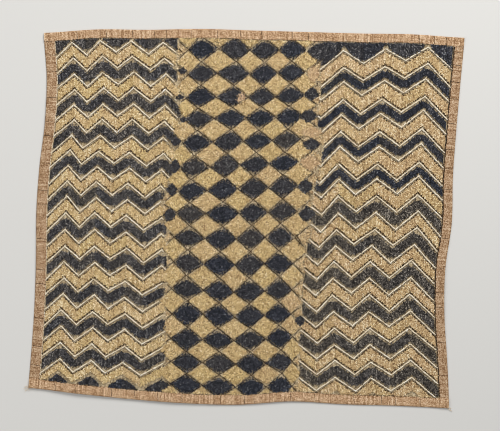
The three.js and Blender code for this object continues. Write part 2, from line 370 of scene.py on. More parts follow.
def woven_raffia(name, stops, strip_mm):
    """Hand-woven raffia: flat unspun strips in plain weave, each with its own straw to pink-brown colour, and
    wider streaks where a run of strips came from an older or a fresher leaf."""
    material, tree, shader = new_material(name)
    uv = node(tree, "ShaderNodeUVMap", {"uv_map": "weave"}, output="UV")
    at = node(tree, "ShaderNodeSeparateXYZ", inputs={0: uv})
    strips = {}
    for axis, first in (("X", 0.0), ("Y", 900.0)):
        count = node(tree, MATHS, {"operation": "DIVIDE"}, {0: at.outputs[axis], 1: strip_mm * MM}, 0)
        number = node(tree, MATHS, {"operation": "FLOOR"}, {0: count}, 0)
        seed = node(tree, MATHS, {"operation": "ADD"}, {0: number, 1: first}, 0)
        chance = node(tree, "ShaderNodeTexWhiteNoise", {"noise_dimensions": "1D"}, {"W": seed}, "Value")
        wave = node(tree, MATHS, {"operation": "PINGPONG"}, {0: count, 1: 0.5}, 0)
        strips[axis] = (number, chance, wave)
    crossing = node(tree, MATHS, {"operation": "ADD"}, {0: strips["X"][0], 1: strips["Y"][0]}, 0)
    over = node(tree, MATHS, {"operation": "FLOORED_MODULO"}, {0: crossing, 1: 2.0}, 0)
    chance, wave = (node(tree, MIX, inputs={
        "Factor": over, 2: strips["X"][index], 3: strips["Y"][index]}, output=0) for index in (1, 2))
    blotch = node(tree, NOISE, inputs={
        "Vector": uv, "Scale": BLOTCHES_PER_MM / MM, "Detail": 4.0}, output="Fac")
    along = node(tree, MATHS, {"operation": "MULTIPLY"}, {0: at.outputs["X"], 1: STREAKS_PER_MM / MM}, 0)
    streak = node(tree, NOISE, {"noise_dimensions": "1D"}, {"W": along, "Detail": 3.0}, "Fac")
    grain = node(tree, NOISE, inputs={
        "Vector": uv, "Scale": STRIP_GRAIN_PER_MM / MM, "Detail": 2.0}, output="Fac")
    shade = -2.05
    for pattern, strength in ((chance, 0.15), (blotch, 1.3), (grain, 2.6), (streak, 1.0)):
        shade = node(tree, MATHS, {"operation": "MULTIPLY_ADD"}, {0: pattern, 1: strength, 2: shade}, 0)
    ramp = node(tree, RAMP, inputs={"Fac": shade})
    lay_colours(ramp.color_ramp, stops)
    # Painted shade on the weave: cells where the strips of one way lie on top are lighter and the others
    # darker, as the light catches them.
    painted_weave_shade = node(tree, MATHS, {"operation": "MULTIPLY_ADD"}, {0: over, 1: -0.12, 2: 1.06}, 0)
    # The tone attribute is painted shade here: it dims each side of the hem as the light falls on it.
    tone = node(tree, ATTRIBUTE, {"attribute_name": "tone"}, output="Fac")
    colour = ramp.outputs["Color"]
    for share in (painted_weave_shade, tone):
        colour = node(tree, MIX, DIMMING, {"Factor": 1.0, 6: colour, 7: share}, 2)
    tree.links.new(colour, shader.inputs["Base Color"])
    bump = node(tree, "ShaderNodeBump", inputs={
        "Strength": 0.5, "Distance": 0.3 * MM, "Height": wave}, output="Normal")
    tree.links.new(bump, shader.inputs["Normal"])
    shader.inputs["Roughness"].default_value = 0.75
    shader.inputs["Specular IOR Level"].default_value = 0.3
    return material


def raffia_strands(name, fresh, faded, roughness, painted_root_shade=0.3, bed=False):
    """Cut or stitched raffia: each strand has its own shade, read from the mesh, and painted shade darkens it
    towards its root.
    Fresh and faded are two runs of colours, and each motif lies somewhere between them. In the bed between the
    strands the shades come from a fine grain."""
    material, tree, shader = new_material(name)
    tone = node(tree, ATTRIBUTE, {"attribute_name": "tone"}, output="Fac")
    if bed:
        spot = node(tree, "ShaderNodeTexCoord", output="Object")
        grain = node(tree, NOISE, inputs={
            "Vector": spot, "Scale": ROOT_GRAIN_PER_MM / MM, "Detail": 2.0}, output="Fac")
        shade = node(tree, "ShaderNodeMapRange", inputs={
            "Value": grain, "From Min": 0.25, "From Max": 0.75, "To Max": 0.86}, output=0)
    else:
        shade = node(tree, ATTRIBUTE, {"attribute_name": "shade"}, output="Fac")
    runs = []
    for stops in (fresh, faded):
        ramp = node(tree, RAMP, inputs={"Fac": shade})
        lay_colours(ramp.color_ramp, stops)
        runs.append(ramp.outputs["Color"])
    colour = node(tree, MIX, {"data_type": "RGBA"}, {"Factor": tone, 6: runs[0], 7: runs[1]}, 2)
    if not bed:
        # Painted shade: the colour darkens from each strand's top to its root, down to painted_root_shade, for
        # the shade between close strands.
        rise = node(tree, ATTRIBUTE, {"attribute_name": "rise"}, output="Fac")
        depth = node(tree, "ShaderNodeMapRange", inputs={"Value": rise, "To Min": painted_root_shade}, output=0)
        colour = node(tree, MIX, DIMMING, {"Factor": 1.0, 6: colour, 7: depth}, 2)
    tree.links.new(colour, shader.inputs["Base Color"])
    shader.inputs["Roughness"].default_value = roughness
    shader.inputs["Specular IOR Level"].default_value = 0.2
    return material


HEM_RAFFIA = woven_raffia(
    "woven_raffia_hem", [(0.0, "#7f5c3c"), (0.35, "#ad8761"), (0.65, "#c9a682"), (1.0, "#e4c8a6")], 1.5)
GROUND_RAFFIA = woven_raffia(
    "woven_raffia_ground", [(0.0, "#75634a"), (0.35, "#9f8b69"), (0.65, "#bba785"), (1.0, "#d6c5a4")], 1.3)
DARK_FRESH = [(0.0, "#0d0e13"), (0.4, "#1f222a"), (0.86, "#464954"), (1.0, "#7f7f82")]
DARK_FADED = [(0.0, "#1a1613"), (0.4, "#453e36"), (0.86, "#756c5f"), (1.0, "#a09584")]
LIGHT_FRESH = [(0.0, "#7d633c"), (0.4, "#ba9d6a"), (0.86, "#dec48b"), (1.0, "#f4e3b8")]
LIGHT_FADED = [(0.0, "#86664a"), (0.4, "#be9c77"), (0.86, "#dec19c"), (1.0, "#f0dec2")]
DARK_PILE = raffia_strands("dark_dyed_raffia_pile", DARK_FRESH, DARK_FADED, 0.75)
LIGHT_PILE = raffia_strands("undyed_raffia_pile", LIGHT_FRESH, LIGHT_FADED, 0.75)
DARK_BED = raffia_strands("dark_dyed_raffia_roots", DARK_FRESH, DARK_FADED, 0.8, bed=True)
LIGHT_BED = raffia_strands("undyed_raffia_roots", LIGHT_FRESH, LIGHT_FADED, 0.8, bed=True)
CREAM_THREAD = raffia_strands(
    "pale_raffia_thread",
    [(0.0, "#d2bf9c"), (0.4, "#f2e4c8"), (0.86, "#fbf2df"), (1.0, "#fffaf0")],
    [(0.0, "#a98c68"), (0.4, "#d2b894"), (0.86, "#e6d2b2"), (1.0, "#f2e4cc")],
    0.6, painted_root_shade=0.72)
# Brown thread for the stitched lines, the lattice, the sewing and loose threads, and also for the dark lines of
# painted shadow along and across the hems.
BROWN_THREAD_AND_SHADOW = raffia_strands(
    "brown_raffia_thread_and_shadow",
    [(0.0, "#150f09"), (0.4, "#2a1e12"), (0.86, "#443220"), (1.0, "#6c5437")],
    [(0.0, "#2e2116"), (0.4, "#503b26"), (0.86, "#6d5437"), (1.0, "#94784f")],
    0.7, painted_root_shade=0.5)


# Meshes

def add_object(name, mesh, material):
    mesh.materials.append(material)
    piece = bpy.data.objects.new(name, mesh)
    bpy.context.scene.collection.objects.link(piece)
    return piece


def plan_spots(points):
    """Each point's spot on a map of the whole cloth seen from above, from 0 to 1."""
    low = np.array(CAD_BOX[0])[:2]
    high = np.array(CAD_BOX[1])[:2]
    return np.clip((points[:, :2] - low) / (high - low), 0, 1)


def add_uv(mesh, name, spots):
    """Adds a UV map from one spot for each corner of each face."""
    layer = mesh.uv_layers.new(name=name)
    layer.data.foreach_set("uv", np.asarray(spots, np.float32).ravel())


def add_values(mesh, name, values):
    """Adds a number to each point of a mesh."""
    attribute = mesh.attributes.new(name, "FLOAT", "POINT")
    attribute.data.foreach_set("value", np.asarray(values, np.float32))


def mesh_corners(mesh):
    corners = np.zeros(len(mesh.loops), np.int32)
    mesh.loops.foreach_get("vertex_index", corners)
    return corners


def mesh_points(mesh):
    points = np.zeros(len(mesh.vertices) * 3, np.float32)
    mesh.vertices.foreach_get("co", points)
    return points.reshape(-1, 3)


Template = namedtuple("Template", "points faces spot_corners")


def template_from(bm):
    """A small shape to repeat: its points, its faces, and for each face corner the point whose spot it bakes
    to. A face that looks down takes the spot of its highest corner, so that it covers nothing on the map."""
    bm.verts.index_update()
    bm.normal_update()
    points = np.array([v.co for v in bm.verts])
    faces = [[v.index for v in face.verts] for face in bm.faces]
    spot_corners = []
    for face, corners in zip(bm.faces, faces):
        highest = max(corners, key=lambda i: points[i][2])
        spot_corners += corners if face.normal.z > 0.02 else [highest] * len(corners)
    bm.free()
    return Template(points, faces, np.array(spot_corners))


def scatter(name, template, origins, axes, shade, tone, material, ruffle=0.0):
    """One joined mesh with a copy of the template at each origin, on its own three axes."""
    count, corner_count = len(origins), len(template.points)
    copies = np.einsum("nij,mj->nmi", axes, template.points) + origins[:, None, :]
    copies += rng.normal(0, 1, copies.shape) * ruffle
    points = copies.reshape(-1, 3)
    starts = np.arange(count) * corner_count
    by_face = [(np.array(face) + starts[:, None]).tolist() for face in template.faces]
    faces = [face[copy] for copy in range(count) for face in by_face]
    mesh = bpy.data.meshes.new(name)
    mesh.from_pydata(points.tolist(), [], faces)
    heights = template.points[:, 2]
    rise = (heights - heights.min()) / (heights.max() - heights.min())
    add_values(mesh, "shade", np.repeat(shade, corner_count))
    add_values(mesh, "tone", np.repeat(np.clip(tone, 0, 1), corner_count))
    add_values(mesh, "rise", np.tile(rise, count))
    spot_points = (template.spot_corners[None, :] + starts[:, None]).ravel()
    add_uv(mesh, "OFBake", plan_spots(points)[spot_points])
    return add_object(name, mesh, material)


def tuft_template():
    """A cut tuft: four sides that spread from a point at the root to a flat cut top, one unit each way."""
    bm = bmesh.new()
    bmesh.ops.create_cone(bm, cap_ends=True, segments=4, radius1=0.0, radius2=math.sqrt(0.5), depth=1.0)
    bmesh.ops.remove_doubles(bm, verts=bm.verts, dist=0.001)
    bmesh.ops.rotate(bm, verts=bm.verts, matrix=Matrix.Rotation(math.pi / 4, 3, "Z"))
    bmesh.ops.translate(bm, verts=bm.verts, vec=(0, 0, 0.5))
    bmesh.ops.recalc_face_normals(bm, faces=bm.faces)
    return template_from(bm)


def stitch_template():
    """A stitch: a spindle with four sides along X, one unit each way."""
    bm = bmesh.new()
    bmesh.ops.create_uvsphere(bm, u_segments=4, v_segments=3, radius=0.5)
    bmesh.ops.rotate(bm, verts=bm.verts, matrix=Matrix.Rotation(math.pi / 2, 3, "Y"))
    bmesh.ops.recalc_face_normals(bm, faces=bm.faces)
    return template_from(bm)


TUFT = tuft_template()
STITCH = stitch_template()


# Ground and hem

def sheet_from_grid(name, columns, rows, shape, tone):
    """A sheet made from a flat grid of unit size. Shape turns the grid's two shares into across, down, height
    and the two ways along its weave."""
    bm = bmesh.new()
    bmesh.ops.create_grid(bm, x_segments=columns, y_segments=rows, size=0.5)
    shares = np.array([v.co for v in bm.verts]) + 0.5
    across, down, height, warp, weft = shape(shares[:, 0], shares[:, 1])
    for vert, point in zip(bm.verts, place(across, down, height)):
        vert.co = point
    mesh = bpy.data.meshes.new(name)
    bm.to_mesh(mesh)
    bm.free()
    corners = mesh_corners(mesh)
    add_uv(mesh, "weave", (np.stack([warp, weft], axis=1) * MM)[corners])
    add_uv(mesh, "OFBake", plan_spots(mesh_points(mesh))[corners])
    # For a hem this tone is its side's painted shade; the ground keeps its colour at 1.
    add_values(mesh, "tone", np.full(len(mesh.vertices), tone))
    return mesh


def woven_ground():
    """The woven ground, which ends inside the hem's fold."""
    inset = 3.0

    def shape(s, t):
        across = inset + s * (CLOTH_ACROSS - 2 * inset)
        down = CLOTH_DOWN - inset - t * (CLOTH_DOWN - 2 * inset)
        return across, down, np.full(len(s), GROUND_TOP), across, down

    columns, rows = round(CLOTH_ACROSS / GROUND_STEP), round(CLOTH_DOWN / GROUND_STEP)
    mesh = sheet_from_grid("raffia_ground", columns, rows, shape, 1.0)
    ground = add_object("raffia_ground", mesh, GROUND_RAFFIA)
    solidify = ground.modifiers.new("thickness", "SOLIDIFY")
    solidify.thickness = GROUND_THICK * MM
    solidify.offset = -1.0
    return ground


# The hem's section: how far in from the fold and how high, as shares of the hem's width and thickness.
Section = namedtuple("Section", "inward up")
HEM_SECTION = [
    Section(1.0, 0.04),
    Section(1.0, 0.86),
    Section(0.965, 0.97),
    Section(0.8, 1.0),
    Section(0.6, 0.98),
    Section(0.4, 1.0),
    Section(0.2, 0.99),
    Section(0.09, 0.93),
    Section(0.03, 0.74),
    Section(0.0, 0.45),
    Section(0.03, 0.18),
    Section(0.1, 0.03),
    Section(0.5, 0.03),
    Section(1.0, 0.04),
]
HEM_STEP = 2.5


def hem_strip(side):
    """One side's turned hem. The top and bottom hems are folded last, so their ends ride up over the others."""
    width = getattr(HEM, side)
    flat_side = side in ("top", "bottom")
    length = CLOTH_ACROSS if flat_side else CLOTH_DOWN
    section_inward = np.array([row.inward for row in HEM_SECTION])
    section_up = np.array([row.up for row in HEM_SECTION])

    def shape(s, t):
        row = np.rint(t * (len(HEM_SECTION) - 1)).astype(int)
        along = 0.4 + s * (length - 0.8)
        wander = 0.35 * np.sin(along / 13 + width) + 0.25 * np.sin(along / 5.1)
        inward = section_inward[row] * (width + wander * section_inward[row])
        thick = HEM_TOP + 0.12 * np.sin(along / 6.3 + width) * np.sin(along / 17)
        if flat_side:
            to_end = np.minimum(along, length - along)
            thick = thick + 0.7 * np.clip(1.4 - to_end / HEM.left, 0, 1)
        height = section_up[row] * thick
        across = along if flat_side else {"left": inward, "right": CLOTH_ACROSS - inward}[side]
        down = {"top": inward, "bottom": CLOTH_DOWN - inward}[side] if flat_side else along
        return across, down, height, along + 700 * HEM._fields.index(side), inward

    columns = round(length / HEM_STEP)
    mesh = sheet_from_grid("hem_" + side, columns, len(HEM_SECTION) - 1, shape, getattr(HEM_PAINTED_SHADE, side))
    bm = bmesh.new()
    bm.from_mesh(mesh)
    bmesh.ops.remove_doubles(bm, verts=bm.verts, dist=0.01 * MM)
    bmesh.ops.holes_fill(bm, edges=bm.edges, sides=0)
    bmesh.ops.recalc_face_normals(bm, faces=bm.faces)
    bm.to_mesh(mesh)
    bm.free()
    return add_object("hem_" + side, mesh, HEM_RAFFIA)


# Where the pile is worked

def worked_lines(turns, pinched, end_rise):
    """All chevron lines of a panel, from one before the first to two after the last, each turn a little off.
    Each pinched line moves in towards the dark band beside it, and the last two lines move up by a rise."""
    table = np.array(turns, float).reshape(len(turns), 3, 2)
    numbers = np.arange(-1, LINE_COUNT + 2)
    share = (numbers / (LINE_COUNT - 1))[:, None, None]
    lines = through(table[:, 0], table[:, 1], table[:, 2], share)
    towards_dark = np.where(numbers % 2 == 1, PINCH, -PINCH)
    lines[..., 1] += (towards_dark * np.isin(numbers, pinched))[:, None]
    lines[-2:, :, 1] -= end_rise
    lines[0, :, 1] -= UNDER_HEM
    return hand_drift(lines + rng.normal(0, 0.45, lines.shape))


LEFT_LINES = worked_lines(LEFT_TURNS, [], LEFT_END_RISE)
RIGHT_LINES = worked_lines(RIGHT_TURNS, FRESH_RIGHT_LINES, 0.0)


def motif_share(motif, across, down):
    """How far out from the middle of a rounded motif points lie: 1 on its edge."""
    wide = np.abs(across - motif.across) / motif.half_width
    tall = np.abs(down - motif.down) / motif.half_height
    return wide ** EDGE_ROUNDNESS + tall ** EDGE_ROUNDNESS


# How far the pile stops from the top and bottom hems, from the side hems and from the next panel.
HEM_MARGIN = 0.6
SIDE_MARGIN = 1.2
PANEL_MARGIN = 0.4


def between_hems(down):
    """Which points lie clear of the top and bottom hems."""
    return (down > HEM.top + HEM_MARGIN) & (down < CLOTH_DOWN - HEM.bottom - HEM_MARGIN)


def in_panel(panel, across, down):
    """Which points lie in a panel, inside the hem and clear of the edge motifs."""
    inside = between_hems(down)
    for motif in EDGE_MOTIFS:
        inside = inside & (motif_share(motif, across, down) > 1.1)
    start, end = panel_edge("start", down), panel_edge("end", down)
    if panel == "left":
        return inside & (across > HEM.left + SIDE_MARGIN) & (across < start - PANEL_MARGIN)
    if panel == "middle":
        return inside & (across > start + PANEL_MARGIN) & (across < end - PANEL_MARGIN)
    return inside & (across > end + PANEL_MARGIN) & (across < CLOTH_ACROSS - HEM.right - SIDE_MARGIN)


def bilinear(corners, u, v):
    """Points of a four-sided patch at shares along and over it."""
    a, b, c, d = (np.asarray(corner, float) for corner in corners)
    u, v = u[:, None], v[:, None]
    return (1 - v) * ((1 - u) * a + u * b) + v * ((1 - u) * d + u * c)


# How far apart tufts stand along a chevron band, over it, and in a diamond.
ALONG_PITCH = 1.15
OVER_PITCH = 1.5
DIAMOND_PITCH = 1.4


def patch_grid(along, over, along_pitch, over_pitch):
    """Shares of a patch at each tuft, and each tuft's column: a grid with each tuft a little off its place."""
    columns = max(2, round(along / along_pitch))
    rows = max(2, round(over / over_pitch))
    u, v = np.meshgrid(np.arange(columns), np.arange(rows))
    column = u.ravel()
    u = (u.ravel() + 0.5 + rng.uniform(-0.4, 0.4, u.size)) / columns
    v = (v.ravel() + 0.5 + rng.uniform(-0.4, 0.4, v.size)) / rows
    return u, v, column


def strand_shades(count, middle, spread, flecks):
    """A shade for each strand, spread about the middle one, and a much paler one for a share of them."""
    shade = np.clip(rng.normal(middle, spread, count), 0.02, 0.86)
    pale = rng.random(count) < flecks
    shade[pale] = rng.uniform(0.88, 1.0, pale.sum())
    return shade


Tufts = namedtuple("Tufts", "across down turn tone shade")
LineTrim = namedtuple("LineTrim", "above below corner tip")
BandLook = namedtuple("BandLook", "tone shade spread flecks trim")
LIGHT_TRIM = LineTrim(above=4.2, below=4.2, corner=0.0, tip=0.0)
LEFT_DARK_TRIM = LineTrim(above=3.8, below=4.0, corner=4.0, tip=0.0)
RIGHT_DARK_TRIM = LineTrim(above=3.9, below=3.8, corner=4.0, tip=0.0)
NARROW_TRIM = LineTrim(above=3.5, below=4.5, corner=3.0, tip=0.0)
END_TRIM = LineTrim(above=0.6, below=2.0, corner=2.0, tip=5.0)
BAND_LOOKS = {
    "left_light": BandLook(0.25, 0.64, 0.33, 0.06, LIGHT_TRIM),
    "right_light": BandLook(0.45, 0.5, 0.33, 0.1, LIGHT_TRIM),
    "left_dark": BandLook(0.45, 0.5, 0.32, 0.06, LEFT_DARK_TRIM),
    "right_dark": BandLook(0.75, 0.45, 0.34, 0.08, RIGHT_DARK_TRIM),
    "upper_right_dark": BandLook(0.05, 0.45, 0.18, 0.03, NARROW_TRIM),
    "top_right_dark": BandLook(0.2, 0.45, 0.26, 0.1, END_TRIM),
    "end_left_dark": BandLook(0.2, 0.45, 0.24, 0.05, END_TRIM),
}


def band_look(panel, dark, line):
    """The look of the chevron band below a line of a panel."""
    if dark and panel == "right" and line in FRESH_RIGHT_LINES:
        return BAND_LOOKS["upper_right_dark"]
    if dark and panel == "right" and line < FRESH_RIGHT_LINES[0]:
        return BAND_LOOKS["top_right_dark"]
    if dark and panel == "left" and line >= LINE_COUNT:
        return BAND_LOOKS["end_left_dark"]
    return BAND_LOOKS[panel + ("_dark" if dark else "_light")]


BandLeg = namedtuple("BandLeg", "upper lower look")
END_GAP = {"left": 1.6, "right": 0.0}
ROUNDED_LENGTH = 8.0
THINNED_LENGTH = 10.0


def band_legs(panel, dark):
    """The straight legs of all dark or all light bands in a panel. A band lies between two lines."""
    lines = LEFT_LINES if panel == "left" else RIGHT_LINES
    legs = []
    for index in range(len(lines) - 1):
        if (index % 2 == 0) != dark:
            continue
        for k in range(lines.shape[1] - 1):
            upper, lower = lines[index][k:k + 2], lines[index + 1][k:k + 2]
            look = band_look(panel, dark, index - 1)
            legs.append(BandLeg(upper, lower, look._replace(tone=look.tone + rng.normal(0, 0.12))))
    return legs


def worked_edges(leg, share):
    """How far the pile stops short of the upper and the lower line, at shares along a leg. It is rounded off
    where the band turns, and an end band thins out between its points."""
    along_vector = leg.upper[1] - leg.upper[0]
    to_peak = (share if along_vector[1] > 0 else 1 - share) * np.linalg.norm(along_vector)
    to_valley = np.linalg.norm(along_vector) - to_peak
    near_peak, near_valley = (np.clip(1 - away / ROUNDED_LENGTH, 0, 1) ** 2 for away in (to_peak, to_valley))
    thin_peak, thin_valley = (np.clip(1 - away / THINNED_LENGTH, 0, 1) for away in (to_peak, to_valley))
    trim = leg.look.trim
    above = trim.above + trim.corner * near_peak + trim.tip * thin_valley
    below = trim.below + trim.corner * near_valley + trim.tip * thin_peak
    return above, below


def chevron_tufts(panel, legs):
    """The tufts of chevron legs, in columns across the band. Each column has its own shade, as cut from one
    strand."""
    found = []
    for leg in legs:
        along_vector = leg.upper[1] - leg.upper[0]
        along = np.linalg.norm(along_vector)
        height = (leg.lower - leg.upper)[:, 1].mean()
        over = height * abs(along_vector[0]) / along
        u, v, column = patch_grid(along, over, ALONG_PITCH, OVER_PITCH)
        above, below = worked_edges(leg, u)
        ragged = rng.normal(0, 1.2 if leg.look.trim.corner else 0.5, u.size)
        keep = (v * height > above + ragged) & ((1 - v) * height > below + ragged)
        points = bilinear((leg.upper[0], leg.upper[1], leg.lower[1], leg.lower[0]), u, v)
        turn = math.atan2(-along_vector[1], along_vector[0]) + math.pi / 2
        shade = strand_shades(u.size, leg.look.shade, leg.look.spread, leg.look.flecks)
        column_shade = rng.normal(0, 0.13, column.max() + 1)[column]
        shade = np.clip(shade + column_shade, 0, 1)
        uneven = rng.normal(0, 1.8) + rng.normal(0, 0.6, u.size)
        for shift in (0, uneven, uneven - END_GAP[panel]):
            keep &= in_panel(panel, points[:, 0] + shift, points[:, 1])
        count = keep.sum()
        found.append(Tufts(points[keep, 0], points[keep, 1], np.full(count, turn),
                           np.full(count, leg.look.tone), shade[keep]))
    return join_tufts(found)


def join_tufts(found):
    return Tufts(*(np.concatenate(column) for column in zip(*found)))


def row_down(half_row, across):
    """How far down the lattice lies on a half row, where it crosses places of the panel."""
    row = half_row / 2
    above = int(np.clip(math.floor(row), 0, len(DIAMOND_ROWS) - 2))
    share = (across - ROW_LEFT_ACROSS) / (ROW_RIGHT_ACROSS - ROW_LEFT_ACROSS)
    upper, lower = (one.left + share * (one.right - one.left) for one in DIAMOND_ROWS[above:above + 2])
    return upper + (row - above) * (lower - upper)


Diamond = namedtuple("Diamond", "left top right bottom dark tone whole")


def worked_diamonds():
    """Every diamond of the middle panel by its four tips."""
    stops = np.linspace(0, 1, len(Column._fields))
    rows = {}
    for half_row in range(-2, 2 * len(DIAMOND_ROWS) + 1):
        share = half_row / (2 * (len(DIAMOND_ROWS) - 1))
        columns = np.array([np.interp(share, stops, column) for column in DIAMOND_COLUMNS])
        between = (columns[1:] + columns[:-1]) / 2
        rows[half_row] = []
        for across in (between, columns):
            points = np.stack([across, row_down(half_row, across)], axis=1)
            rows[half_row].append(hand_drift(points + rng.normal(0, 0.5, points.shape)))
    diamonds = []
    for half_row in range(-1, 2 * len(DIAMOND_ROWS)):
        dark = half_row % 2 == 0
        own, other = (0, 1) if dark else (1, 0)
        sides = rows[half_row][own]
        first = 1 if dark else 0
        for i in range(len(sides) - 1):
            top = rows[half_row - 1][other][i + first]
            bottom = rows[half_row + 1][other][i + first]
            tone = abs(rng.normal(0.15, 0.2)) if dark else rng.normal(0.15, 0.12)
            diamonds.append(Diamond(sides[i], top, sides[i + 1], bottom, dark, tone, True))
        if dark:
            for side, column in ((0, 0), (-1, -1)):
                centre, tip = rows[half_row][other][column], sides[side]
                ends = [tip, 2 * centre - tip] if column else [2 * centre - tip, tip]
                top, bottom = rows[half_row - 1][other][column], rows[half_row + 1][other][column]
                diamonds.append(Diamond(ends[0], top, ends[1], bottom, False, 0.5, False))
    return diamonds


DIAMONDS = worked_diamonds()
LATTICE = 2.1
DARK_FILL_WIDE = 0.9
DARK_FILL_TALL = 0.75
DARK_ROUNDNESS = 1.3


def diamond_tufts(dark):
    """The tufts of all dark or all light diamonds. Dark ones are rounder and smaller, with soft edges."""
    found = []
    for diamond in DIAMONDS:
        if diamond.dark != dark:
            continue
        side = np.linalg.norm(diamond.top - diamond.left)
        u, v, _ = patch_grid(side, side * 0.95, DIAMOND_PITCH, DIAMOND_PITCH)
        wide, tall = np.abs(u + v - 1), np.abs(v - u)
        if dark:
            fill_wide = DARK_FILL_WIDE + rng.normal(0, 0.03)
            fill_tall = DARK_FILL_TALL + rng.normal(0, 0.05)
            out = (wide / fill_wide) ** DARK_ROUNDNESS + (tall / fill_tall) ** DARK_ROUNDNESS
            keep = out < 1 + rng.normal(0, 0.09, u.size)
        else:
            edge = np.minimum(np.minimum(u, 1 - u), np.minimum(v, 1 - v)) * side
            keep = edge > LATTICE + rng.normal(0, 0.25, u.size)
            keep &= np.maximum(wide, tall) < 0.88 + rng.normal(0, 0.03, u.size)
        points = bilinear((diamond.left, diamond.top, diamond.right, diamond.bottom), u, v)
        keep &= in_panel("middle", points[:, 0], points[:, 1])
        count = keep.sum()
        shade = strand_shades(count, 0.45, 0.24, 0.035) if dark else strand_shades(count, 0.52, 0.3, 0.1)
        found.append(Tufts(points[keep, 0], points[keep, 1], rng.uniform(0, math.pi, count),
                           np.full(count, diamond.tone), shade))
    return join_tufts(found)


def edge_tufts(dark):
    """The tufts of all dark or all light motifs at the panel's edges."""
    found = []
    for motif in EDGE_MOTIFS:
        if motif.dark != dark:
            continue
        wide, tall = 2 * motif.half_width, 2 * motif.half_height
        u, v, _ = patch_grid(wide, tall, DIAMOND_PITCH, DIAMOND_PITCH)
        across = motif.across + (2 * u - 1) * motif.half_width
        down = motif.down + (2 * v - 1) * motif.half_height
        keep = motif_share(motif, across, down) < 1 + rng.normal(0, 0.08, u.size)
        keep &= between_hems(down)
        count = keep.sum()
        tone = np.full(count, EDGE_TONE[dark])
        found.append(Tufts(across[keep], down[keep], rng.uniform(0, math.pi, count), tone,
                           strand_shades(count, 0.45, 0.2, 0.05)))
    return join_tufts(found)


def worn_apart(tufts):
    """Splits dark tufts into those that are left and those worn pale."""
    worn = np.zeros(len(tufts.across), bool)
    for spot in WORN_SPOTS:
        worn |= motif_share(spot, tufts.across, tufts.down) < rng.uniform(0.5, 1.2, len(worn))
    kept = Tufts(*(column[~worn] for column in tufts))
    pale = Tufts(*(column[worn] for column in tufts))
    return kept, pale._replace(tone=np.full(worn.sum(), 1.0))


TuftSize = namedtuple("TuftSize", "length width lean")
CHEVRON_TUFT = TuftSize(length=1.9, width=1.0, lean=0.14)
DIAMOND_TUFT = TuftSize(length=1.8, width=1.25, lean=0.2)


def turned_axes(turn, length, width):
    """Axes for copies turned on the cloth, each with its length and width. The third axis is left to set."""
    axes = np.zeros((len(turn), 3, 3))
    axes[:, 0, 0], axes[:, 1, 0] = np.cos(turn) * length, np.sin(turn) * length
    axes[:, 0, 1], axes[:, 1, 1] = -np.sin(turn) * width, np.cos(turn) * width
    return axes


def pile(name, tufts, size, material):
    """A joined mesh of tufts, each turned, leaned and cut a little differently."""
    count = len(tufts.across)
    origins = place(tufts.across, tufts.down, PILE_ROOT)
    turn = tufts.turn + rng.normal(0, 0.2, count)
    length = size.length * rng.uniform(0.8, 1.2, count) * MM
    width = size.width * rng.uniform(0.75, 1.25, count) * MM
    height = (PILE_TOP - PILE_ROOT) * rng.uniform(0.88, 1.06, count) * MM
    lean = rng.normal(0, size.lean, (count, 2)) * height[:, None]
    axes = turned_axes(turn, length, width)
    axes[:, 0, 2], axes[:, 1, 2], axes[:, 2, 2] = lean[:, 0], lean[:, 1], height
    return scatter(name, TUFT, origins, axes, tufts.shade, tufts.tone, material, 0.08 * MM)


# Pile beds

Patch = namedtuple("Patch", "outline tone")

# How far a bed stops from the hem and from the next panel, and how far the middle one may run past its own.
BED_MARGIN = 1.5
BED_GAP = 2.0
BED_OVERRUN = 8.0


def cut_outline(outline, axis, limit, keep_below):
    """The part of a flat outline on one side of a limit, across (axis 0) or down (axis 1)."""
    side = (limit - outline[:, axis]) * (1 if keep_below else -1)
    kept = []
    for i in range(len(outline)):
        j = (i + 1) % len(outline)
        if side[i] >= 0:
            kept.append(outline[i])
        if side[i] * side[j] < 0:
            share = side[i] / (side[i] - side[j])
            kept.append(outline[i] + share * (outline[j] - outline[i]))
    return np.array(kept).reshape(-1, 2)


def rounded_outline(middle, right, up, shoulder):
    """A diamond's outline by its middle and half sizes as vectors, with a shoulder on each side."""
    ways = [(-1, 0), (-shoulder, shoulder), (0, 1), (shoulder, shoulder),
            (1, 0), (shoulder, -shoulder), (0, -1), (-shoulder, -shoulder)]
    return np.array([middle + a * right + b * up for a, b in ways])


